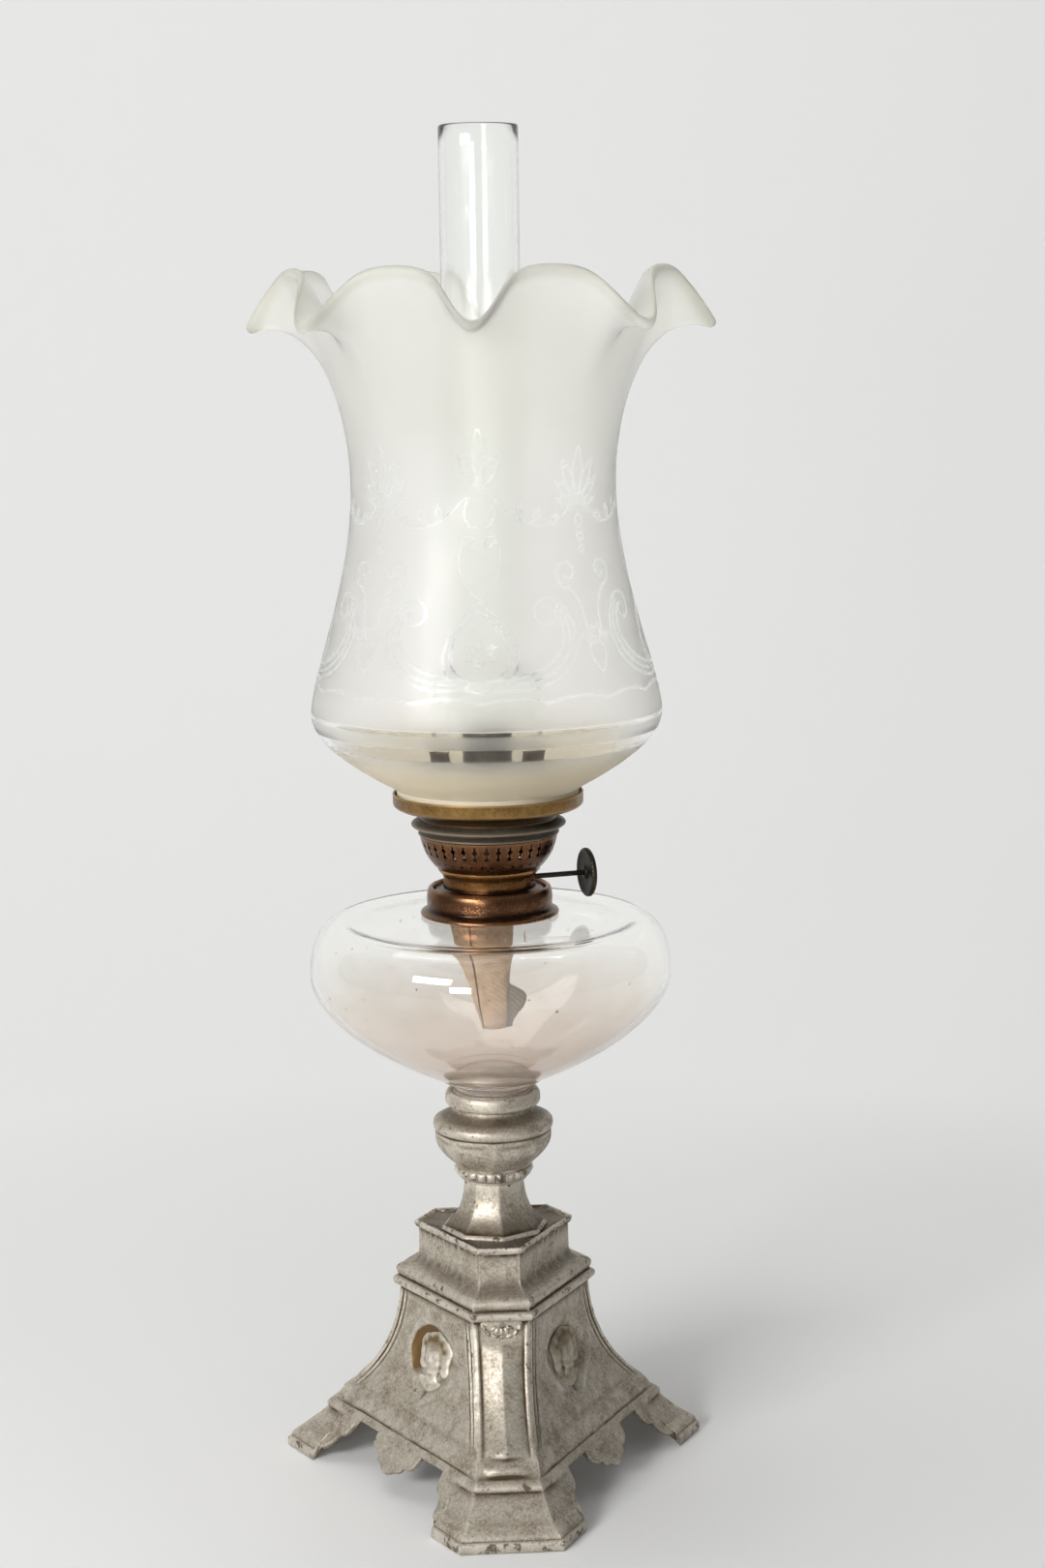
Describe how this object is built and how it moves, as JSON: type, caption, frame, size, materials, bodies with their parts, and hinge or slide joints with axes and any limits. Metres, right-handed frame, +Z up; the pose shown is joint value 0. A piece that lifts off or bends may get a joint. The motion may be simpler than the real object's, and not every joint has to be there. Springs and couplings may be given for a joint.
{
  "type": "kerosene table lamp",
  "caption": "Kerosene table lamp: cast three-footed pedestal, clear glass font, round-wick burner with a wick wheel, glass chimney and a ruffled frosted glass shade.",
  "frame": {"origin": "on the lamp's axis, at the floor plane under the feet", "axes": "+Z up along the lamp's axis, one foot along -Y, the wick wheel towards +X"},
  "size_m": [0.2032, 0.2036, 0.62],
  "materials": {
    "cast_metal": "worn silver-grey, brown in the recesses",
    "patinated_brass": "dark copper-brown patina",
    "polished_brass": "satin, golden",
    "blacked_steel": "blackened",
    "clear_glass": "clear, polished",
    "frosted_glass": "frosted, with clear etched lines",
    "plaster": "matt plaster of Paris",
    "leather": "plain",
    "cotton": "flat woven"
  },
  "bodies": {
    "lamp": {"base_casting": "cast_metal", "stem": "cast_metal", "gadroon_band": "cast_metal", "knop": "cast_metal", "font_socket": "cast_metal", "tie_rod": "blacked_steel", "clamp_plate": "blacked_steel", "tie_rod_nut": "blacked_steel", "socket_plaster": "plaster", "font_glass": "clear_glass", "collar_plaster": "plaster", "font_collar": "patinated_brass", "collar_gasket": "leather"},
    "burner": {"burner_base": "patinated_brass", "burner_basket": "patinated_brass", "gallery_flange": "patinated_brass", "chimney_holder": "patinated_brass", "wick_tube": "patinated_brass", "air_tube": "patinated_brass", "spindle_bearing": "patinated_brass", "spindle_bush": "patinated_brass"},
    "wick_raiser": {"spindle": "blacked_steel", "sprocket_inner": "polished_brass", "sprocket_outer": "polished_brass", "thumb_wheel": "blacked_steel"},
    "wick": {"wick": "cotton"},
    "chimney": {"chimney": "clear_glass"},
    "shade_ring": {"shade_ring": "polished_brass"},
    "shade": {"shade": "frosted_glass"}
  },
  "joints": [
    {"name": "burner_lift", "type": "slide", "parent": "lamp", "child": "burner", "axis": [0, 0, 1], "range_m": [0, 0.08]},
    {"name": "wick_wheel_turn", "type": "hinge", "parent": "burner", "child": "wick_raiser", "pos_m": [0.00353, -0.01319, 0.28459], "axis": [0.9659, 0.2588, 0], "range_deg": [-125, 92]},
    {"name": "wick_raise", "type": "slide", "parent": "burner", "child": "wick", "axis": [0, 0, 1], "range_m": [-0.008, 0.006]},
    {"name": "chimney_lift", "type": "slide", "parent": "burner", "child": "chimney", "axis": [0, 0, 1], "range_m": [0, 0.08]},
    {"name": "shade_ring_lift", "type": "slide", "parent": "burner", "child": "shade_ring", "axis": [0, 0, 1], "range_m": [0, 0.06]},
    {"name": "shade_lift", "type": "slide", "parent": "shade_ring", "child": "shade", "axis": [0, 0, 1], "range_m": [0, 0.08]}
  ],
  "couplings": [
    {"joint": "wick_raise", "follows": "wick_wheel_turn", "m_per_rad": 0.00364}
  ]
}
